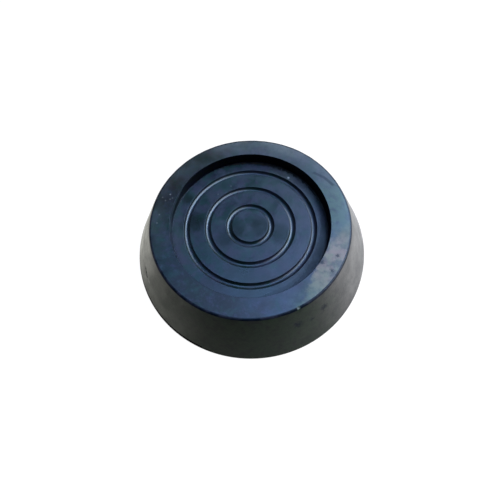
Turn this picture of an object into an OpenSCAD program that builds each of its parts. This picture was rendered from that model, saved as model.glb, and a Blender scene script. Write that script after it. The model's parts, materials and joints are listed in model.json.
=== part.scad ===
// Moulded rubber foot: a low, tapered puck that spreads the load of a leg.
// The leg stands in a shallow round cup, on a floor with concentric grip
// grooves. The whole foot is one turned section, so every edge is a true arc.

/* [Body] */
// Diameter of the underside, the widest part of the foot
base_d = 70; // [60:1:90]
// Height from the underside to the rim
height = 15.5; // [12:0.5:24]
// Rounding of the edge between the tapered side and the rim
rim_edge_r = 0.8; // [0.3:0.1:1.5]
// Rounding of the edge around the underside
base_edge_r = 0.5; // [0.2:0.1:1.5]

/* [Cup] */
// Inside diameter of the cup that takes the end of the leg
cup_d = 44; // [36:1:56]
// Width of the rim, from the cup's wall to the tapered side
rim_w = 5.5; // [4:0.5:7]
// Depth of the cup below the rim
cup_depth = 3.5; // [2.5:0.5:8]
// Rounding of the cup's mouth
mouth_r = 0.1; // [0.05:0.05:0.6]
// Rounding between the cup's wall and its floor
corner_r = 0.1; // [0.05:0.05:0.6]

/* [Grip grooves] */
// Number of concentric grooves in the floor of the cup
groove_count = 3; // [1:1:5]
// Distance from the cup's wall to the middle of the outermost groove
groove_margin = 4; // [2.5:0.5:8]
// Width of a groove where it opens into the floor
groove_w = 1.7; // [1:0.1:2.4]
// Depth of a groove below the floor
groove_depth = 1; // [0.5:0.1:1.5]
// Slope of a groove's flanks away from upright, in degrees
groove_draft = 15; // [5:1:25]
// Rounding of the edges where a groove meets the floor
groove_edge_r = 0.1; // [0.05:0.05:0.3]
// Rounding along the bottom of a groove, as far as its flanks leave room
groove_root_r = 0.7; // [0.1:0.1:0.9]

/* [Hidden] */

// Facets of the turned form, and of the small arcs in its section.
turn_facets = 180;
arc_facets = 64;

base_r = base_d / 2;
cup_r = cup_d / 2;
rim_r = cup_r + rim_w;
floor_z = height - cup_depth;

// The grooves stand at equal steps from the middle of the cup.
groove_pitch = (cup_r - groove_margin) / groove_count;

// A cutting shape reaches this far past the surface that it opens.
overshoot = 1;

// A groove's rounding leaves at least this much of its bottom and flanks flat.
least_flat = 0.02;

// The tapered side runs from the rim's sharp corner and touches the rounded
// lower edge, whose outermost point stands at the full base diameter.
rim_corner = [rim_r, height];
lower_round = [base_r - base_edge_r, base_edge_r];
side_run = lower_round - rim_corner;
side_slope = -atan2(side_run[1], side_run[0]) - asin(base_edge_r / norm(side_run));
lower_corner = [rim_r + height / tan(side_slope), 0];

function unit(v) = v / norm(v);

// The web between a corner and the arc that rounds it. The corner lies at
// `corner`, and its two sides run towards the points `a` and `b`. Taken from
// an outside corner or added in an inside one, the web leaves a true arc. It
// is drawn about its own corner, which keeps its small numbers exact.
module corner_web(corner, a, b, r) {
    along_a = unit(a - corner);
    along_b = unit(b - corner);
    inward = unit(along_a + along_b);
    half_angle = acos(along_a * along_b) / 2;
    centre = inward * r / sin(half_angle);
    tangent = r / tan(half_angle);
    translate(corner)
        difference() {
            polygon([-inward * r / 2, along_a * tangent, centre, along_b * tangent]);
            translate(centre)
                circle(r = r, $fn = arc_facets);
        }
}

// Half section of the plain tapered puck, with its two outer edges rounded.
module puck_section() {
    difference() {
        polygon([[0, 0], lower_corner, rim_corner, [0, height]]);
        corner_web(lower_corner, [0, 0], rim_corner, base_edge_r);
        corner_web(rim_corner, [0, height], lower_corner, rim_edge_r);
    }
}

// Half section of the space inside the cup, with its floor corner rounded and
// its mouth flared by the rounding of the rim's inner edge.
module cup_section() {
    mouth = [cup_r, height];
    floor_corner = [cup_r, floor_z];
    difference() {
        translate([0, floor_z])
            square([cup_r, cup_depth + overshoot]);
        corner_web(floor_corner, [0, floor_z], mouth, corner_r);
    }
    corner_web(mouth, floor_corner, rim_corner, mouth_r);
}

// Draws its children as they are, and again mirrored about x = 0.
module both_sides() {
    children();
    mirror([1, 0])
        children();
}

// Section of one groove: sloped flanks, softened edges and a rounded root.
// Its middle stands on x = 0, and the floor of the cup lies at z = 0.
module groove_section() {
    edge = [groove_w / 2, 0];
    root = [groove_w / 2 - groove_depth * tan(groove_draft), -groove_depth];
    // Half of the angle that each rounding turns through.
    root_turn = (90 - groove_draft) / 2;
    edge_reach = groove_edge_r * tan(root_turn);
    flank_room = norm(edge - root) - edge_reach;
    root_room = min(root[0], flank_room) - least_flat;
    root_r = min(groove_root_r, root_room / tan(root_turn));
    difference() {
        both_sides()
            polygon([[0, overshoot], [0, root[1]], root, edge, [edge[0], overshoot]]);
        both_sides()
            corner_web(root, [0, root[1]], edge, root_r);
    }
    both_sides()
        corner_web(edge, root, [groove_w, 0], groove_edge_r);
}

// The whole half section: the puck, less its cup and its grooves.
module foot_section() {
    difference() {
        puck_section();
        cup_section();
        for (i = [1 : groove_count])
            translate([i * groove_pitch, floor_z])
                groove_section();
    }
}

module rubber_foot() {
    color([0.15, 0.17, 0.2])
        rotate_extrude($fn = turn_facets)
            foot_section();
}

rubber_foot();
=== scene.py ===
"""Looks of a moulded rubber foot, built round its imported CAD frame.

The foot is turned again as one fine mesh, with the small dents and uneven edges
of used rubber. Lengths are in millimetres, and become metres through MM.
"""
import json
import math

import bpy
import numpy as np
from mathutils import Matrix, Vector, noise


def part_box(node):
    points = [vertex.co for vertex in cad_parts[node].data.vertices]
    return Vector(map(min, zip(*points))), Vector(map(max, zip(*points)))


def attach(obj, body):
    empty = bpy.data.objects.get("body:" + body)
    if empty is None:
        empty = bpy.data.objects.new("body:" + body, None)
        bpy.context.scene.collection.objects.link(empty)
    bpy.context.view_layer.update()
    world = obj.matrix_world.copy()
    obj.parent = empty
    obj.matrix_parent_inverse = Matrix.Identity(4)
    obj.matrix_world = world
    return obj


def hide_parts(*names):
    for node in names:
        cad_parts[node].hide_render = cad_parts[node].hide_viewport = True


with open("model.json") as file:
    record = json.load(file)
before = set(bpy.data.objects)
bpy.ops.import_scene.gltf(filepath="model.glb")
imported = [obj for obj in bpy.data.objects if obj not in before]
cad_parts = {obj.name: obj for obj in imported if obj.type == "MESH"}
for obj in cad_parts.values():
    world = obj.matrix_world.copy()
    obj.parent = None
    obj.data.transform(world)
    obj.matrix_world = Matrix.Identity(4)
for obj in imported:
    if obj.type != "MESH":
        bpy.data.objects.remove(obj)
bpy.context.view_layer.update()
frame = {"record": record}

# ---------------------------------------------------------------- sizes, in mm
MM = 0.001
mounts = {m["name"]: m for m in frame["record"]["mounts"]}
cup, cup_floor = mounts["cup"], mounts["cup_floor"]
box_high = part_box("rubber_foot")[1] / MM

BASE_R = box_high.x
HEIGHT = box_high.z
CUP_R = cup["dims"]["r_mm"]
FLOOR_Z = cup_floor["pos_m"][2] / MM
WALL_MIDDLE = cup["pos_m"][2] / MM
WALL_HALF = cup["dims"]["length_mm"] / 2
MOUTH_ROUND = HEIGHT - WALL_MIDDLE - WALL_HALF
CORNER_ROUND = WALL_MIDDLE - WALL_HALF - FLOOR_Z

RIM_W = 5.5
RIM_R = CUP_R + RIM_W
RIM_ROUND = 0.8
BASE_ROUND = 0.5
GROOVE_COUNT = 3
GROOVE_MARGIN = 4.0
GROOVE_PITCH = (CUP_R - GROOVE_MARGIN) / GROOVE_COUNT
GROOVE_W = 1.7
GROOVE_DEPTH = 1.0
GROOVE_DRAFT = math.radians(15)
GROOVE_EDGE = 0.1
GROOVE_ROOT = 0.7

# ---------------------------------------------------------------- mesh density
SPOKES = 480
ARC_STEP = math.radians(14)
SUPPORT = 0.05        # a ring this close to each arc keeps the flats flat
SIDE_STEP = 0.9
RIM_STEP = 0.45
FLOOR_STEP = 0.8
CORNER_STEP = 0.25    # the ring of the cup's floor beside its wall
WALL_STEP = 0.25
UNDERSIDE_STEP = 6.0
DENSITY_STEPS = 7201  # angles at which the density of the spokes is worked out
MARK_DENSITY = 1.5    # a mark has this many spokes more for each usual one

# ------------------------------------------------------- wear and painted shade seen on the foot
# Places on the foot are (radius, angle): mm from its axis, and degrees round it
# from +X towards the back, so that the front is at -90.
WAVE_DEPTH = 0.05     # slow unevenness of the moulded faces
WAVE_SIZE = 9.0
WAVE_START = 2.0      # it has its full depth this far above the lower edge's rounding
EDGE_DEPTH = 0.07     # how far the rim's edge is worn in places
EDGE_REACH = 0.7
EDGE_SIZE = 2.2
EDGE_SHARE = 0.3      # more of the edge is worn the higher this is
NICK = (RIM_R - 0.05, -67.0)
NICK_Z = HEIGHT - 0.1
NICK_DEPTH = 0.20
NICK_REACH = 0.35
NICK_SPREAD = 3.0     # degrees over which the spokes are closer
NICK_HALF_TURN = 0.9  # degrees to each side of it without the painted shade on the rim's edge
GOUGE_ANGLE = -161.0
GOUGE_Z = 6.4
GOUGE_TILT = -0.35    # mm up for each mm along the dent
GOUGE_DEPTH = 0.25
GOUGE_LENGTH = 1.2
GOUGE_WIDTH = 0.35
GOUGE_SPREAD = 4.0
GOUGE_SLOPE = -0.27   # mm up for each degree along the painted shade in it
GOUGE_SHADE = (2.6, 0.45)              # half length, degrees, and half width of that painted shade
SCUFF_FROM = (RIM_R - 0.1, -66.0)     # the straight side of the scuffed patch
SCUFF_TO = (CUP_R + 0.3, -42.0)
SCUFF_HIGH = ((CUP_R, -25.0), (RIM_R, -4.0))      # and its other side
SCUFF_SPECKS = ((25.2, -28.7), (22.6, -37.4), (25.7, -38.7))
RIM_FLECKS = ((25.8, 160.7), (24.6, 162.4), (23.0, 159.3), (23.5, 160.7), (25.1, 173.2),
              (25.4, 179.2))
PALE_FLECK = (24.1, 157.1)
# Points on the side are (x, y, z), and a blot also has its reach. The first three blots lie
# along the gouge and are painted shade in it; the others are dark blots.
SIDE_BLOTS_AND_SHADE = (((-30.4, -9.4, 6.9), 0.7), ((-30.3, -10.6, 6.4), 0.7), ((-30.2, -11.5, 5.9), 0.6),
              ((10.9, -28.2, 10.2), 1.6), ((17.9, -24.1, 10.5), 1.4), ((14.5, -26.5, 9.2), 1.0))
SIDE_CHALK = (-29.4, -13.0, 5.8)
STAR = (19.7, 51.2)
FLOOR_FLECKS = ((20.2, 33.1), (14.1, 129.4), (14.4, 110.5))
# The painted shade on the cup's wall, a low gloss where shade falls: (angle, where it starts
# and where it ends, as shares of the way from the floor up to the rim). The rest has the rim's gloss.
WALL_SHADE_SPANS = ((-100, 0.5, 0.5), (-62, 0.0, 1.0), (138, 0.0, 1.0), (147, 0.05, 0.92), (152, 0.15, 0.72),
            (160, 0.16, 0.56), (172, 0.22, 0.46), (180, 0.34, 0.34))
# The painted shade on the lower edge: the angle of its middle and its half length in degrees,
# and its height and width. Further from its ends than SHADED_BLACK degrees it is darkest, then
# in the mid shade down to SHADED_MID, and in the light shade in its last few degrees.
SHADED_MIDDLE = -143
SHADED_HALF = 37
SHADED_HIGH = BASE_ROUND * 2.4
SHADED_WIDE = 1.5
SHADED_BLACK = 10
SHADED_MID = 5
# How far from its wall the cup's floor has painted shade, darkest in the corner, then mid and light:
# (angle, mm).
CORNER_WIDTHS = ((-60, 0.0), (-35, 0.7), (75, 0.8), (100, 0.5), (115, 0.2), (122, 0.0))
MID_SHADE_WIDTHS = ((-80, 0.0), (-55, 1.3), (-32, 2.6), (-8, 2.3), (15, 1.4), (75, 1.3), (100, 0.7),
                (112, 0.0))
LIGHT_SHADE_WIDTHS = ((-100, 0.0), (-80, 1.6), (-55, 2.2), (-32, 3.2), (-8, 3.0), (15, 1.8), (40, 0.0))
RAGGED = 0.5          # how uneven these widths are
RAGGED_SIZE = 0.8
RIM_EDGE_W = 0.42     # the part of the rim's outer edge with painted shade
WALL_REACH = 0.12     # a face this close to the wall's radius is the wall's
FLOOR_REACH = 0.05    # and this close to the floor's height, the floor's
# Where the foot differs from the rest, as (angle, reach in degrees) or with a share.
BROWN_RIM = (142, 46)
RUBBED_RIM = ((-126, 52, 0.95), (162, 14, 0.6))   # darker
STAINED_RIM = (-130, 65)
HAZY_RIM = (-120, 36)
BLOOM_RIGHT = (4, 28)
BLOOM_FRONT = (-57, 17)
BLOOM_LEFT = (-176, 24)
SCUFFED_RIM = (-34, 36)
PINK_SCUFF = (-31, 22)
OUTER_FLANK_CHALK_AND_HIGHLIGHT = (152, 74)               # on the grooves' outer flanks: chalk and painted highlight
INNER_FLANK_CHALK_AND_HIGHLIGHT = (-18, 62)
GRIMY_FLOOR = (-60, 82)
GRIMY_FLOOR_BAND = (18.6, 22)         # between these two radii
GRIMY_DISC = (-15, 70)
GRIMY_DISC_EDGE = (5.0, 4.0)          # from clean to grimy, as radii
GREEN_SIDE = (255, 75)
# Dust on the rim: (angle, reach in degrees, share at the lip, share at the edge).
RIM_DUST = ((82, 43, 0.15, 0.41), (32, 50, 0.05, 0.24), (160, 50, 0.0, 0.09))
# Dust on the cup's floor: (angle, reach in degrees, share), between these two radii.
FLOOR_DUST = ((46, 30, 0.32), (-166, 32, 0.07))
FLOOR_DUST_BAND = (18.3, 22)
# Darker, smoother places on the cup's floor: (radius, angle, reach).
GREASY = ((3.2, -15.0, 5.0), (9.0, -20.0, 5.0), (4.0, 200.0, 4.5), (8.5, -150.0, 3.5),
          (15.8, 174.0, 5.4), (20.4, 151.7, 2.6), (15.5, 257.0, 7.0), (20.0, 275.0, 4.5))
SCRATCHES = (((23.7, 37.0), (25.0, 29.5)), ((25.0, 30.5), (26.0, 21.0)), ((25.2, 49.9), (22.7, 49.3)))

# ------------------------------------------------------- slots of the materials
# All slots but MOULDED hold painted shade: a lower gloss darkens the wall, the corner, the rounded
# edges and the lower edge.
MOULDED, WALL_SHADE, CORNER_SHADE, EDGE, MID_SHADE, LIGHT_SHADE, SHADED = range(7)

# ---------------------------------------------------------------------- camera
CAMERA_AT = (0.0, -43.5, 94.4)
CAMERA_AIM = (-0.36, -9.2, 15.5)
CAMERA_ROLL = math.radians(3.67)
FRAME_PX = 500
FOCAL_PX = 328.6
SENSOR = 36.0
CLIP_START = 0.005    # in metres


def to_metres(points):
    """Millimetre points as metres."""
    return np.asarray(points, float) * MM


# --------------------------------------------------------------- turned section
def unit(v):
    return v / np.linalg.norm(v)


def groove_corners(middle):
    """Corners of one groove from its outer edge to its inner one."""
    half_root = GROOVE_W / 2 - GROOVE_DEPTH * math.tan(GROOVE_DRAFT)
    root_z = FLOOR_Z - GROOVE_DEPTH
    return [
        (middle + GROOVE_W / 2, FLOOR_Z, GROOVE_EDGE, None),
        (middle + half_root, root_z, GROOVE_ROOT, None),
        (middle - half_root, root_z, GROOVE_ROOT, None),
        (middle - GROOVE_W / 2, FLOOR_Z, GROOVE_EDGE, FLOOR_STEP),
    ]


def section_corners():
    """Corners of the half section, from the middle of the underside round to the
    middle of the cup: (radius, height, rounding, ring spacing after it). No
    spacing means a short run that needs no rings of its own."""
    run = np.array([BASE_R - BASE_ROUND - RIM_R, BASE_ROUND - HEIGHT])
    slope = -math.atan2(run[1], run[0]) - math.asin(BASE_ROUND / np.linalg.norm(run))
    lower_corner = RIM_R + HEIGHT / math.tan(slope)
    corners = [
        (0.0, 0.0, 0.0, UNDERSIDE_STEP),
        (lower_corner, 0.0, BASE_ROUND, SIDE_STEP),
        (RIM_R, HEIGHT, RIM_ROUND, RIM_STEP),
        (CUP_R, HEIGHT, MOUTH_ROUND, WALL_STEP),
        (CUP_R, FLOOR_Z, CORNER_ROUND, CORNER_STEP),
    ]
    for i in range(GROOVE_COUNT, 0, -1):
        corners += groove_corners(i * GROOVE_PITCH)
    return corners + [(0.0, FLOOR_Z, 0.0, None)]


def arc_points(before, corner, after, radius):
    """Points of the arc that rounds a corner, from its first tangent point on."""
    to_before, to_after = unit(before - corner), unit(after - corner)
    half = math.acos(np.clip(to_before @ to_after, -1, 1)) / 2
    centre = corner + unit(to_before + to_after) * radius / math.sin(half)
    first = corner + to_before * radius / math.tan(half) - centre
    turn = math.pi - 2 * half
    if to_before[0] * to_after[1] - to_before[1] * to_after[0] > 0:
        turn = -turn
    steps = max(3, math.ceil(abs(turn) / ARC_STEP))
    points = []
    for k in range(steps + 1):
        a = turn * k / steps
        c, s = math.cos(a), math.sin(a)
        points.append(centre + np.array([c * first[0] - s * first[1],
                                         s * first[0] + c * first[1]]))
    return points


def run_points(start, end, spacing):
    """Points between two arcs, with a support ring close to each end."""
    if spacing is None:
        return []
    length = np.linalg.norm(end - start)
    count = max(1, math.ceil(length / spacing))
    stops = [SUPPORT] + [length * k / count for k in range(1, count)] + [length - SUPPORT]
    return [start + unit(end - start) * s for s in stops]


def section():
    """The half section as points (radius, height), starting and ending on the axis."""
    corners = section_corners()
    at = [np.array(c[:2]) for c in corners]
    pieces = [[at[0]]]
    for i in range(1, len(corners) - 1):
        pieces.append(arc_points(at[i - 1], at[i], at[i + 1], corners[i][2]))
    pieces.append([at[-1]])
    points = list(pieces[0])
    for i in range(1, len(pieces)):
        points += run_points(points[-1], pieces[i][0], corners[i - 1][3])
        points += pieces[i]
    return np.array(points)


# ------------------------------------------------------------------ turned mesh
def spoke_angles():
    """Angles of the mesh's spokes, closer together at the marks."""
    fine = np.linspace(-math.pi, math.pi, DENSITY_STEPS)
    density = np.ones_like(fine)
    for angle, spread in ((NICK[1], NICK_SPREAD), (GOUGE_ANGLE, GOUGE_SPREAD)):
        off = np.degrees(fine) - angle
        density += MARK_DENSITY * np.exp(-(off / spread) ** 2)
    total = np.concatenate([[0], np.cumsum((density[1:] + density[:-1]) / 2)])
    return np.interp(np.arange(SPOKES) / SPOKES * total[-1], total, fine)


def place_at(place, z):
    """The point at a (radius, angle) place and a height."""
    a = math.radians(place[1])
    return Vector((place[0] * math.cos(a), place[0] * math.sin(a), z))


def bell(distance, width):
    """1 at no distance, falling smoothly to nearly 0 at twice the width."""
    return math.exp(-(distance / width) ** 2)


def wear_depth(p):
    """How far the worn surface lies inside the moulded one at the point p."""
    if p.z < BASE_ROUND:
        return 0.0
    slow = 0.5 + 0.5 * noise.noise(p / WAVE_SIZE)
    depth = WAVE_DEPTH * slow * min(1.0, (p.z - BASE_ROUND) / WAVE_START)
    radius = math.hypot(p.x, p.y)
    edge = bell(radius - RIM_R, EDGE_REACH) * bell(p.z - HEIGHT, EDGE_REACH)
    depth += EDGE_DEPTH * edge * max(0.0, EDGE_SHARE + noise.noise(p / EDGE_SIZE))
    depth += NICK_DEPTH * bell((p - place_at(NICK, NICK_Z)).length, NICK_REACH)
    a = math.radians(GOUGE_ANGLE)
    along = Vector((-math.sin(a), math.cos(a), GOUGE_TILT)).normalized()
    side_r = RIM_R + (BASE_R - RIM_R) * (1 - GOUGE_Z / HEIGHT)
    off = p - Vector((side_r * math.cos(a), side_r * math.sin(a), GOUGE_Z))
    run = off.dot(along)
    across = (off - along * run).length
    depth += GOUGE_DEPTH * bell(run, GOUGE_LENGTH) * bell(across, GOUGE_WIDTH)
    return depth


def wall_slot(z, turn):
    """Slot of a face of the cup's wall."""
    angles, starts, ends = zip(*WALL_SHADE_SPANS)
    share = (z - FLOOR_Z) / (HEIGHT - FLOOR_Z)
    within = np.interp(turn, angles, starts) < share < np.interp(turn, angles, ends)
    # faces within these spans get the wall's painted shade
    if turn > angles[0] and within:
        return WALL_SHADE
    # the rounded mouth and corner get the edge rubber's painted shade
    rounded = z > HEIGHT - MOUTH_ROUND or z < FLOOR_Z + CORNER_ROUND
    return EDGE if rounded else MOULDED


def floor_slot(r, turn):
    """Slot of a face of the cup's floor, by how far it is from the wall: painted shade, darker nearer
    the wall.
    """
    away = CUP_R - r + RAGGED * noise.noise(place_at((r, turn), 0) / RAGGED_SIZE)
    for slot, widths in ((CORNER_SHADE, CORNER_WIDTHS), (MID_SHADE, MID_SHADE_WIDTHS), (LIGHT_SHADE, LIGHT_SHADE_WIDTHS)):
        if away < np.interp(turn, *zip(*widths)):
            return slot
    return MOULDED


def outside_slot(r, z, turn):
    """Slot of a face outside the cup. The painted shade on the lower edge and along the gouge
    borrows the mid and the light shade rubber."""
    inside = SHADED_HALF - abs(turn - SHADED_MIDDLE)
    if z < SHADED_HIGH and r > BASE_R - SHADED_WIDE and inside > 0:
        if inside > SHADED_BLACK:
            return SHADED
        return MID_SHADE if inside > SHADED_MID else LIGHT_SHADE
    # painted shade along the gouge
    off = turn - GOUGE_ANGLE
    half_length, half_width = GOUGE_SHADE
    above = z - GOUGE_Z - GOUGE_SLOPE * off
    if r > RIM_R and abs(off) < half_length and abs(above) < half_width:
        return MID_SHADE
    # the rim's outer edge gets painted shade, except beside the nick
    on_edge = z > HEIGHT - RIM_ROUND and r > RIM_R - RIM_EDGE_W
    return EDGE if on_edge and abs(turn - NICK[1]) > NICK_HALF_TURN else MOULDED


def face_slot(a, b, turn):
    """Slot of a face between two points of the section, at an angle round the foot."""
    r, z = (a + b) / 2
    if FLOOR_Z < z < HEIGHT and abs(r - CUP_R) < WALL_REACH:
        return wall_slot(z, turn)
    if abs(z - FLOOR_Z) < FLOOR_REACH and r < CUP_R:
        return floor_slot(r, turn)
    return outside_slot(r, z, turn)


def turned_mesh(name):
    """The section turned round the Z axis, with its wear pressed in."""
    line = section()
    tangent = np.gradient(line, axis=0)
    outward = np.stack([tangent[:, 1], -tangent[:, 0]], axis=1)
    outward /= np.linalg.norm(outward, axis=1)[:, None]
    angles = spoke_angles()
    rings = len(line) - 2
    verts = []
    for k in range(1, rings + 1):
        (r, z), (nr, nz) = line[k], outward[k]
        for a in angles:
            c, s = math.cos(a), math.sin(a)
            p, normal = Vector((r * c, r * s, z)), Vector((nr * c, nr * s, nz))
            verts.append(p - normal * wear_depth(p))
    middle = Vector((0, 0, FLOOR_Z))
    verts += [Vector((0, 0, 0)), middle - Vector((0, 0, wear_depth(middle)))]
    bottom, top = len(verts) - 2, len(verts) - 1
    faces = []
    slots = []
    for j in range(SPOKES):
        n = (j + 1) % SPOKES
        turn = math.degrees(angles[j])
        faces.append((bottom, n, j))
        slots.append(MOULDED)
        for k in range(rings - 1):
            row, up = k * SPOKES, (k + 1) * SPOKES
            faces.append((row + j, row + n, up + n, up + j))
            slots.append(face_slot(line[k + 1], line[k + 2], turn))
        last = (rings - 1) * SPOKES
        faces.append((last + j, last + n, top))
        slots.append(MOULDED)
    mesh = bpy.data.meshes.new(name)
    mesh.from_pydata(to_metres(verts).tolist(), [], faces)
    mesh.polygons.foreach_set("material_index", slots)
    mesh.shade_smooth()
    return mesh


def foot_materials():
    """The materials in the order of their slots, each with the level of its gloss."""
    # all but the first are painted shade, by a lower level of gloss
    return [rubber_material("moulded_rubber", 0.5),
            painted_shade_material("wall_shade_rubber", 0.07, BLACK, BLUE_BLACK),
            painted_shade_material("corner_shade_rubber", 0.25, BLACK, SHADE_BROWN),
            painted_shade_material("edge_shade_rubber", 0.22, NAVY, GREY_BLUE),
            rubber_material("mid_shade_rubber", 0.27),
            rubber_material("light_shade_rubber", 0.40),
            painted_shade_material("shaded_rubber", 0.02, SIDE_DARK, SHADE)]


def make_foot():
    foot = bpy.data.objects.new("rubber_foot_moulding", turned_mesh("rubber_foot_moulding"))
    bpy.context.scene.collection.objects.link(foot)
    for material in foot_materials():
        foot.data.materials.append(material)
    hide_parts("rubber_foot")
    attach(foot, "root")


# --------------------------------------------------------------- shader helpers
class Nodes:
    """Adds and links the nodes of one shader tree."""

    def __init__(self, owner):
        owner.use_nodes = True
        self.tree = owner.node_tree
        self.tree.nodes.clear()

    def add(self, kind, inputs=None, **settings):
        node = self.tree.nodes.new("ShaderNode" + kind)
        for name, value in settings.items():
            setattr(node, name, value)
        for key, value in (inputs or {}).items():
            self.feed(node.inputs[key], value)
        return node

    def feed(self, socket, value):
        if isinstance(value, bpy.types.NodeSocket):
            self.tree.links.new(value, socket)
        else:
            socket.default_value = value

    def math(self, operation, *values):
        return self.add("Math", dict(enumerate(values)), operation=operation).outputs[0]

    def mix(self, share, first, second):
        """A colour between first and second."""
        node = self.add("Mix", {0: share, 6: first, 7: second}, data_type="RGBA")
        return node.outputs[2]

    def blend(self, share, first, second):
        """A number between first and second."""
        node = self.add("Mix", {0: share, 2: first, 3: second}, data_type="FLOAT")
        return node.outputs[0]

    def noise(self, where, size, detail, contrast):
        """Clouds from 0 to 1 of about the given size."""
        node = self.add("TexNoise", {"Vector": where, "Scale": 1 / size,
                                     "Detail": detail, "Roughness": contrast})
        return node.outputs["Fac"]

    def fade(self, value, start, end, low=0.0, high=1.0):
        """low up to start and high from end on, with a smooth change between."""
        node = self.add("MapRange", {"Value": value, "From Min": start, "From Max": end,
                                     "To Min": low, "To Max": high},
                        interpolation_type="SMOOTHSTEP")
        return node.outputs["Result"]

    def product(self, *values):
        total = values[0]
        for value in values[1:]:
            total = self.math("MULTIPLY", total, value)
        return total

    def total(self, *values):
        total = values[0]
        for value in values[1:]:
            total = self.math("ADD", total, value)
        return total


# -------------------------------------------------------------------- materials
# black rubber tinted blue: the blue is partly a painted reflection of the sky
NAVY = (0.003, 0.005, 0.008, 1)
BLACK = (0.001, 0.001, 0.001, 1)
TEAL = (0.002, 0.015, 0.008, 1)
VIOLET = (0.011, 0.005, 0.015, 1)
GREY_BLUE = (0.017, 0.015, 0.019, 1)
BROWN = (0.017, 0.011, 0.004, 1)
# the brown of the painted shade in the cup's corner
SHADE_BROWN = (0.012, 0.007, 0.003, 1)
SIDE_GREEN = (0.014, 0.024, 0.008, 1)
SIDE_BROWN = (0.035, 0.026, 0.019, 1)
SIDE_DARK = (0.003, 0.002, 0.003, 1)
SHADE = (0.014, 0.011, 0.008, 1)
DUST = (0.17, 0.135, 0.105, 1)
SCUFF_DUST = (0.15, 0.12, 0.06, 1)
PINK_DUST = (0.21, 0.12, 0.08, 1)
BLOOM = (0.05, 0.10, 0.03, 1)
# pale chalk, also painted highlight on the grooves' lit flanks
CHALK_AND_HIGHLIGHT = (0.50, 0.42, 0.33, 1)
BLUE_BLACK = (0.001, 0.001, 0.004, 1)
GREASE = (0.002, 0.006, 0.002, 1)
TEAL_STAIN = (0.02, 0.09, 0.07, 1)
VIOLET_STAIN = (0.09, 0.06, 0.14, 1)
MARK_ROUGHNESS = 0.70
GREASE_ROUGHNESS = 0.24
HAZE_ROUGHNESS = 0.62
SCUFF_ROUGHNESS = 0.60


def finish(n, colour, roughness, height, strength, level):
    """Ends a rubber's shader tree. The height of its bumps is in mm."""
    bump = n.add("Bump", {"Height": height, "Distance": MM, "Strength": strength})
    shader = n.add("BsdfPrincipled", {"Base Color": colour, "Roughness": roughness,
                                      "Normal": bump.outputs["Normal"]})
    shader.inputs["Specular IOR Level"].default_value = level
    n.add("OutputMaterial", {"Surface": shader.outputs[0]})


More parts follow.
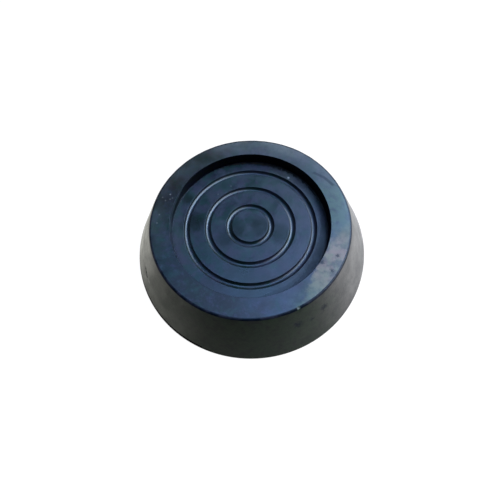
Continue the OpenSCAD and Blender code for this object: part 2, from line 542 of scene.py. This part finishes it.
class Surface:
    """Where a shaded point is on the foot, as shader sockets in mm. `top` is 1 where
    the surface faces up, `in_cup` in the cup and its grooves, `on_rim` on the flat of
    the rim and `on_floor` on the flat of the cup's floor."""

    def __init__(self, n):
        self.n = n
        place = n.add("TexCoord").outputs["Object"]
        self.point = n.add("VectorMath", {0: place, "Scale": 1 / MM},
                           operation="SCALE").outputs["Vector"]
        flat = n.add("VectorMath", {0: self.point, 1: (1, 1, 0)}, operation="MULTIPLY")
        self.flat = flat.outputs["Vector"]
        self.radius = n.add("VectorMath", {0: self.flat}, operation="LENGTH").outputs["Value"]
        self.heading = n.add("VectorMath", {0: self.flat}, operation="NORMALIZE").outputs["Vector"]
        axes = n.add("SeparateXYZ", {0: self.flat}).outputs
        turn = n.math("ARCTAN2", axes["Y"], axes["X"])
        self.turn = n.math("MULTIPLY", turn, math.degrees(1))
        up = n.add("SeparateXYZ", {0: n.add("NewGeometry").outputs["Normal"]}).outputs["Z"]
        self.top = n.fade(up, 0.6, 0.95)
        height = n.add("SeparateXYZ", {0: self.point}).outputs["Z"]
        self.in_cup = n.product(n.fade(self.radius, CUP_R + 0.2, CUP_R + 0.1),
                                n.fade(height, FLOOR_Z - 2.0, FLOOR_Z - 1.5))
        self.on_rim = n.product(self.top, n.fade(self.radius, CUP_R - 0.1, CUP_R + 0.1))
        self.on_floor = n.math("SUBTRACT", self.top, self.on_rim)

    def noise(self, size, detail, contrast):
        return self.n.noise(self.point, size, detail, contrast)

    def band(self, inner, outer, soft):
        """1 between two radii."""
        n = self.n
        return n.product(n.fade(self.radius, inner - soft, inner + soft),
                         n.fade(self.radius, outer + soft, outer - soft))

    def facing(self, angle, reach):
        """1 at an angle round the foot, down to 0 at `reach` degrees from it."""
        towards = place_at((1, angle), 0)
        near = self.n.add("VectorMath", {0: self.heading, 1: towards}, operation="DOT_PRODUCT")
        return self.n.fade(near.outputs["Value"], math.cos(math.radians(reach)), 1.0)

    def spot(self, centre, reach, ragged, core=0.5):
        """1 in a round spot with an uneven outline, and 0 outside it. The core is the
        share of the reach that is wholly inside."""
        n = self.n
        away = n.add("VectorMath", {0: self.point, 1: centre}, operation="DISTANCE")
        uneven = n.math("SUBTRACT", self.noise(reach * 0.4, 3.0, 0.6), 0.5)
        away = n.math("ADD", away.outputs["Value"], n.product(uneven, ragged))
        return n.fade(away, reach, reach * core)

    def beyond(self, start, end, soft, ragged):
        """1 on the outer side of the straight line between two places."""
        n = self.n
        a, b = place_at(start, 0), place_at(end, 0)
        across = (b - a).cross(Vector((0, 0, 1))).normalized()
        side = n.add("VectorMath", {0: self.flat, 1: across}, operation="DOT_PRODUCT")
        side = n.math("SUBTRACT", side.outputs["Value"], a.dot(across))
        uneven = n.math("SUBTRACT", self.noise(1.6, 4.0, 0.65), 0.5)
        side = n.math("ADD", side, n.product(uneven, ragged))
        return n.fade(side, -soft, soft)

    def scratch(self, start, end, width):
        """1 along a thin line between two places."""
        n = self.n
        slope = (end[0] - start[0]) / (end[1] - start[1])
        line = n.math("MULTIPLY_ADD", self.turn, slope, start[0] - slope * start[1])
        off = n.math("ABSOLUTE", n.math("SUBTRACT", self.radius, line))
        first, last = sorted((start[1], end[1]))
        within = n.product(n.fade(self.turn, first - 1, first + 1),
                           n.fade(self.turn, last + 1, last - 1))
        return n.product(n.fade(off, width, width * 0.3), within, self.on_rim)


def strongest(n, values):
    """The largest of several shader numbers."""
    most = values[0]
    for value in values[1:]:
        most = n.math("MAXIMUM", most, value)
    return most


def top_colour(n, on):
    """Navy rubber, whose blue partly paints the sky's reflection, with teal and violet clouds,
    a brown cast on the rim at the back left, and darker rubber on the rim at the front left,
    by the front of the wall and on the right of the middle disc."""
    tint = on.noise(4.5, 3.0, 0.55)
    fine = on.noise(1.1, 2.0, 0.6)
    shade = on.noise(2.2, 4.0, 0.7)
    hue = n.math("MULTIPLY_ADD", n.math("SUBTRACT", fine, 0.5), 0.35, tint)
    lean = n.add("VectorMath", {0: on.flat, 1: (0.003, -0.003, 0)}, operation="DOT_PRODUCT")
    hue = n.math("ADD", hue, lean.outputs["Value"])
    colour = n.mix(n.fade(shade, 0.35, 0.7), NAVY, GREY_BLUE)
    colour = n.mix(n.fade(hue, 0.50, 0.38, 0.0, 0.7), colour, TEAL)
    colour = n.mix(n.fade(hue, 0.53, 0.66, 0.0, 0.6), colour, VIOLET)
    brown = n.product(on.on_rim, on.facing(*BROWN_RIM), n.fade(shade, 0.15, 0.5))
    colour = n.mix(n.product(brown, 0.65), colour, BROWN)
    grimy = n.product(on.facing(*GRIMY_FLOOR), on.band(*GRIMY_FLOOR_BAND, 0.5))
    disc = n.product(on.facing(*GRIMY_DISC), n.fade(on.radius, *GRIMY_DISC_EDGE, 0.0, 0.8))
    grimy = n.product(on.on_floor, n.total(grimy, disc))
    rubbed = n.total(*(n.product(on.facing(angle, reach), share)
                       for angle, reach, share in RUBBED_RIM))
    rubbed = n.product(on.on_rim, rubbed, n.fade(shade, 0.35, 0.65, 0.6, 1.0))
    return n.mix(n.product(n.total(grimy, rubbed), 0.85), colour, BLACK)


def side_colour(n, on):
    """Grey-brown rubber, greener at the front, with soft dark blots."""
    cloud = on.noise(6.0, 4.0, 0.6)
    blot = on.noise(2.4, 3.0, 0.55)
    green = n.fade(n.math("SUBTRACT", on.facing(*GREEN_SIDE), cloud), -0.5, 0.4)
    colour = n.mix(green, SIDE_BROWN, SIDE_GREEN)
    colour = n.mix(n.fade(blot, 0.50, 0.34, 0.0, 0.6), colour, SIDE_DARK)
    return n.mix(n.fade(on.noise(0.8, 3.0, 0.6), 0.56, 0.40, 0.0, 0.4), colour, SIDE_DARK)


def film_amount(n, on):
    """How much dust lies on the flat faces: most on the back and the right of the rim,
    and away from its lip."""
    fleck = on.noise(0.7, 3.0, 0.7)
    cloud = on.noise(3.5, 4.0, 0.6)
    outward = n.fade(on.radius, CUP_R + 0.5, RIM_R - 0.8)
    rim = n.total(*(n.product(on.facing(angle, reach), n.blend(outward, lip, edge))
                    for angle, reach, lip, edge in RIM_DUST))
    rim = n.product(on.on_rim, rim)
    patches = n.total(*(n.product(on.facing(angle, reach), share)
                        for angle, reach, share in FLOOR_DUST))
    floor = n.product(on.on_floor, on.band(*FLOOR_DUST_BAND, 0.8), patches)
    uneven = n.total(n.fade(cloud, 0.35, 0.65, 0.65, 1.15), n.fade(fleck, 0.6, 0.75, 0.0, 0.4))
    return n.product(n.total(rim, floor), uneven)


def bloom_amount(n, on):
    """Where a green bloom lies on the rim."""
    outer_half = n.fade(on.radius, CUP_R + 0.5, RIM_R - 1.0)
    bloom = n.total(on.facing(*BLOOM_RIGHT),
                    n.product(on.facing(*BLOOM_FRONT), outer_half),
                    n.product(on.facing(*BLOOM_LEFT), 0.12))
    return n.product(on.on_rim, bloom, n.fade(on.noise(2.2, 3.0, 0.6), 0.25, 0.60))


def stained_colour(n, on, colour):
    """The colour with faint teal and violet stains, strongest on the rim's front left."""
    front_left = n.product(on.on_rim, on.facing(*STAINED_RIM))
    stained = n.product(on.top, n.blend(front_left, 0.04, 0.14))
    teal = n.product(stained, n.fade(on.noise(3.0, 4.0, 0.65), 0.48, 0.66))
    colour = n.mix(teal, colour, TEAL_STAIN)
    violet = n.product(stained, n.fade(on.noise(1.9, 4.0, 0.65), 0.50, 0.68))
    return n.mix(violet, colour, VIOLET_STAIN)


def scuff_amount(n, on):
    """Where the rim is scuffed, between the patch's two ragged sides."""
    scuff = n.product(on.beyond(SCUFF_FROM, SCUFF_TO, 0.7, 2.5),
                      on.beyond(*SCUFF_HIGH, 1.5, 3.0))
    return n.product(on.on_rim, scuff, on.facing(*SCUFFED_RIM))


def scuffed_colour(n, on, colour, scuff):
    """The colour with pale dust in the scuffed patch, pinker in its middle."""
    worn = n.fade(on.noise(3.2, 5.0, 0.65), 0.36, 0.60, 0.40, 1.0)
    pink = n.product(on.facing(*PINK_SCUFF), n.fade(on.noise(2.5, 3.0, 0.6), 0.35, 0.6))
    return n.mix(n.product(scuff, worn), colour, n.mix(pink, SCUFF_DUST, PINK_DUST))


def chalk_and_highlight_amount(n, on):
    """Chalk and painted highlight on the grooves' flanks that face the light: the outer ones
    at the back left, and the inner ones at the right."""
    middles = [GROOVE_PITCH * i for i in range(1, GROOVE_COUNT + 1)]
    outer = strongest(n, [on.band(m + 0.2, m + 0.6, 0.1) for m in middles])
    inner = strongest(n, [on.band(m - 0.6, m - 0.2, 0.1) for m in middles])
    chalk = n.total(n.product(outer, on.facing(*OUTER_FLANK_CHALK_AND_HIGHLIGHT), 0.30),
                    n.product(inner, on.facing(*INNER_FLANK_CHALK_AND_HIGHLIGHT), 0.24))
    return n.product(on.in_cup, chalk)


def fleck_amount(n, on):
    """Pale flecks: faint ones on the rim and the floor, clearer ones, and a bright one."""
    faint = [on.spot(place_at(p, HEIGHT), 0.3, 0.5) for p in RIM_FLECKS]
    faint += [on.spot(place_at(p, FLOOR_Z), 0.25, 0.4) for p in FLOOR_FLECKS]
    clear = [on.spot(place_at(PALE_FLECK, HEIGHT), 0.3, 0.3),
             on.spot(place_at(NICK, NICK_Z), 0.5, 0.3),
             on.spot(SIDE_CHALK, 0.8, 0.8)]
    bright = on.spot(place_at(STAR, FLOOR_Z), 0.42, 0.6)
    return strongest(n, [n.product(strongest(n, faint), 0.12),
                         n.product(strongest(n, clear), 0.25), n.product(bright, 0.9)])


def mark_amount(n, on):
    """Dark marks: specks in the scuffed patch, scratches, blots on the side, and painted shade along
    the gouge.
    """
    marks = [on.spot(place_at(p, HEIGHT), 0.8, 1.6, 0.2) for p in SCUFF_SPECKS]
    marks += [n.product(on.scratch(start, end, 0.7), 0.75) for start, end in SCRATCHES]
    marks += [on.spot(point, reach * 1.1, reach * 1.7, 0.1) for point, reach in SIDE_BLOTS_AND_SHADE]
    return strongest(n, marks)


def grease_amount(n, on):
    """Where the cup's floor is greasy."""
    return strongest(n, [on.spot(place_at((r, angle), FLOOR_Z), size, size * 0.5, 0.25)
                         for r, angle, size in GREASY])


def haze_amount(n, on):
    """Where the rim's front left is hazy."""
    uneven = n.fade(on.noise(2.4, 4.0, 0.6), 0.35, 0.65, 0.6, 1.0)
    return n.product(on.on_rim, on.facing(*HAZY_RIM), uneven)


def rubber_material(name, level):
    """Dark moulded rubber: clouded, dusty in places, scuffed and scratched. The level is that
    of its gloss; the mid and light shade copies lower it as painted shade."""
    material = bpy.data.materials.new(name)
    n = Nodes(material)
    on = Surface(n)
    upper = n.math("MAXIMUM", on.top, on.in_cup)
    scuff, mark, greasy = scuff_amount(n, on), mark_amount(n, on), grease_amount(n, on)

    colour = n.mix(upper, side_colour(n, on), top_colour(n, on))
    colour = n.mix(film_amount(n, on), colour, DUST)
    colour = n.mix(n.product(bloom_amount(n, on), 0.40), colour, BLOOM)
    colour = stained_colour(n, on, colour)
    colour = scuffed_colour(n, on, colour, scuff)
    # chalk and painted highlight on the grooves' lit flanks
    colour = n.mix(chalk_and_highlight_amount(n, on), colour, CHALK_AND_HIGHLIGHT)
    colour = n.mix(fleck_amount(n, on), colour, CHALK_AND_HIGHLIGHT)
    colour = n.mix(n.product(mark, 0.8), colour, BLUE_BLACK)
    colour = n.mix(n.product(greasy, 0.75), colour, GREASE)

    shine = on.noise(5.0, 4.0, 0.6)
    roughness = n.blend(upper, n.fade(shine, 0.3, 0.7, 0.35, 0.47),
                        n.fade(shine, 0.3, 0.7, 0.30, 0.52))
    roughness = n.blend(mark, roughness, MARK_ROUGHNESS)
    roughness = n.blend(n.product(greasy, 0.65), roughness, GREASE_ROUGHNESS)
    roughness = n.blend(haze_amount(n, on), roughness, HAZE_ROUGHNESS)
    roughness = n.blend(n.product(scuff, 0.6), roughness, SCUFF_ROUGHNESS)

    grain = n.product(on.noise(0.35, 3.0, 0.6), 0.03)
    height = n.math("ADD", grain, n.product(shine, n.blend(upper, 0.03, 0.10)))
    height = n.math("SUBTRACT", height, n.product(mark, 0.03))
    finish(n, colour, roughness, height, 0.6, level)
    return material


def painted_shade_material(name, level, first, second):
    """Dark rubber with the given level of gloss, which is low, clouded from one colour to the
    other: painted shade on the wall, the corner, the rounded edges and the lower edge."""
    material = bpy.data.materials.new(name)
    n = Nodes(material)
    on = Surface(n)
    cloud = on.noise(2.0, 3.0, 0.6)
    colour = n.mix(n.fade(cloud, 0.4, 0.6), first, second)
    roughness = n.fade(cloud, 0.3, 0.7, 0.30, 0.40)
    finish(n, colour, roughness, n.product(cloud, 0.05), 0.5, level)
    return material


def floor_material():
    """Paper that shines white by itself and takes only a little of the light."""
    material = bpy.data.materials.new("pale_floor")
    n = Nodes(material)
    lit = n.add("BsdfDiffuse", {"Color": FLOOR_COLOUR})
    glow = n.add("Emission", {"Color": WHITE, "Strength": FLOOR_GLOW})
    both = n.add("AddShader", {0: lit.outputs[0], 1: glow.outputs[0]})
    n.add("OutputMaterial", {"Surface": both.outputs[0]})
    return material


# ------------------------------------------------------------- floor and lights
FLOOR_HALF = 1500.0
FLOOR_COLOUR = (0.12, 0.08, 0.06, 1)
FLOOR_GLOW = 0.97
LIGHT_DISTANCE = 600.0
PAPER_LEFT = (1.52, 1.53, 1.41, 1)
PAPER_RIGHT = (1.69, 1.71, 1.75, 1)
DARK = (0.0, 0.0, 0.0, 1)
WHITE = (1, 1, 1, 1)
# Each pair is where a smooth change in the room's light starts and ends, as values of
# a direction's x, y or z.
LEFT_TO_RIGHT = (-0.4, 0.4)           # from the left paper's colour to the right one's
HORIZON = (-0.03, 0.22)               # from the paper below to the dark above it
BEHIND = (-0.55, 0.23)                # from the dark in front to the paper behind
BEHIND_TURN = 0.30                    # how far that is turned round to the right
UNDER = (-0.8, -0.4)                  # from the dim paper right below to none
UNDER_SHARE = 0.42
UNDER_LEAN = -0.20                    # how far that reaches out on the right
LEFT_GLOW = Vector((-0.76, -0.29, -0.58))       # towards more pale paper, low on the left
LEFT_GLOW_SPREAD = (0.93, 1.0)        # from its edge to its middle, as cosines
LEFT_GLOW_SHARE = 0.23
# Each light's name, azimuth and elevation, half angle, brightness and colour.
LIGHTS = (("window_end", (62, 42), 11, 3.4, (0.63, 0.80, 1.0)),
          ("window_right", (90, 40), 12, 12.4, (0.66, 0.80, 1.0)),
          ("window_middle", (120, 40), 12, 15.6, (0.50, 0.71, 1.0)),
          ("window_left", (150, 40), 12, 7.0, (0.45, 0.68, 1.0)),
          ("window_top", (120, 60), 14, 9.2, (0.32, 0.53, 1.0)),
          ("window_foot", (122, 21), 13, 4.0, (0.07, 0.50, 1.0)),
          ("sky", (0, 90), 20, 5.2, (0.26, 0.50, 1.0)))


def make_floor():
    """A pale floor that the foot stands on, left out of what the foot reflects."""
    corners = [(-1, -1, 0), (1, -1, 0), (1, 1, 0), (-1, 1, 0)]
    mesh = bpy.data.meshes.new("floor")
    mesh.from_pydata(to_metres(np.array(corners) * FLOOR_HALF).tolist(), [], [(0, 1, 2, 3)])
    floor = bpy.data.objects.new("floor", mesh)
    bpy.context.scene.collection.objects.link(floor)
    mesh.materials.append(floor_material())
    floor.visible_diffuse = False
    floor.visible_glossy = False
    floor.visible_shadow = False


def direction(azimuth, elevation):
    """A direction from its angle round the foot, from the front towards +X, and its
    angle above the floor, in degrees."""
    a, e = math.radians(azimuth), math.radians(elevation)
    return Vector((math.sin(a) * math.cos(e), -math.cos(a) * math.cos(e), math.sin(e)))


def softbox(name, towards, half_angle, radiance, colour):
    """A round light in the direction `towards` that reaches half_angle degrees each
    way, seen from the foot, and has the given brightness."""
    distance = LIGHT_DISTANCE * MM
    size = 2 * distance * math.tan(math.radians(half_angle))
    light = bpy.data.lights.new(name, "AREA")
    light.shape = "DISK"
    light.size = size
    light.energy = radiance * math.pi * math.pi * (size / 2) ** 2
    light.color = colour
    lamp = bpy.data.objects.new(name, light)
    lamp.location = towards * distance
    lamp.rotation_mode = "QUATERNION"
    lamp.rotation_quaternion = towards.to_track_quat("Z", "Y")
    bpy.context.scene.collection.objects.link(lamp)


def room_light():
    """What the foot reflects of the room: pale paper below the horizon, bright behind
    the foot and dim in front of it. Looked at directly, the room is white."""
    world = bpy.data.worlds.new("room")
    bpy.context.scene.world = world
    n = Nodes(world)
    heading = n.add("SeparateXYZ", {0: n.add("TexCoord").outputs["Generated"]})
    right, back, up = (heading.outputs[axis] for axis in "XYZ")
    behind = n.fade(n.math("MULTIPLY_ADD", right, BEHIND_TURN, back), *BEHIND)
    lean = n.math("MULTIPLY_ADD", n.math("MAXIMUM", right, 0.0), UNDER_LEAN, up)
    under = n.fade(lean, *UNDER, UNDER_SHARE, 0.0)
    glow = n.add("VectorMath", {0: n.add("TexCoord").outputs["Generated"], 1: LEFT_GLOW},
                 operation="DOT_PRODUCT").outputs["Value"]
    under = n.math("ADD", under, n.fade(glow, *LEFT_GLOW_SPREAD, 0.0, LEFT_GLOW_SHARE))
    paper = n.mix(n.fade(right, *LEFT_TO_RIGHT), PAPER_LEFT, PAPER_RIGHT)
    paper = n.mix(n.math("MAXIMUM", behind, under), DARK, paper)
    light = n.mix(n.fade(up, *HORIZON), paper, DARK)
    seen = n.add("LightPath").outputs["Is Camera Ray"]
    colour = n.mix(seen, light, WHITE)
    background = n.add("Background", {"Color": colour, "Strength": 1.0})
    n.add("OutputWorld", {"Surface": background.outputs[0]})


def make_lights():
    for name, towards, half_angle, radiance, colour in LIGHTS:
        softbox(name, direction(*towards), half_angle, radiance, colour)
    room_light()


def make_camera():
    at, aim = Vector(CAMERA_AT) * MM, Vector(CAMERA_AIM) * MM
    data = bpy.data.cameras.new("camera")
    data.sensor_width = SENSOR
    data.lens = FOCAL_PX / FRAME_PX * SENSOR
    data.clip_start = CLIP_START
    camera = bpy.data.objects.new("camera", data)
    level = (aim - at).to_track_quat("-Z", "Y").to_matrix().to_4x4()
    camera.matrix_world = Matrix.Translation(at) @ level @ Matrix.Rotation(-CAMERA_ROLL, 4, "Z")
    bpy.context.scene.collection.objects.link(camera)
    bpy.context.scene.camera = camera


make_camera()
make_foot()
make_floor()
make_lights()
bpy.context.scene.view_settings.view_transform = "Standard"
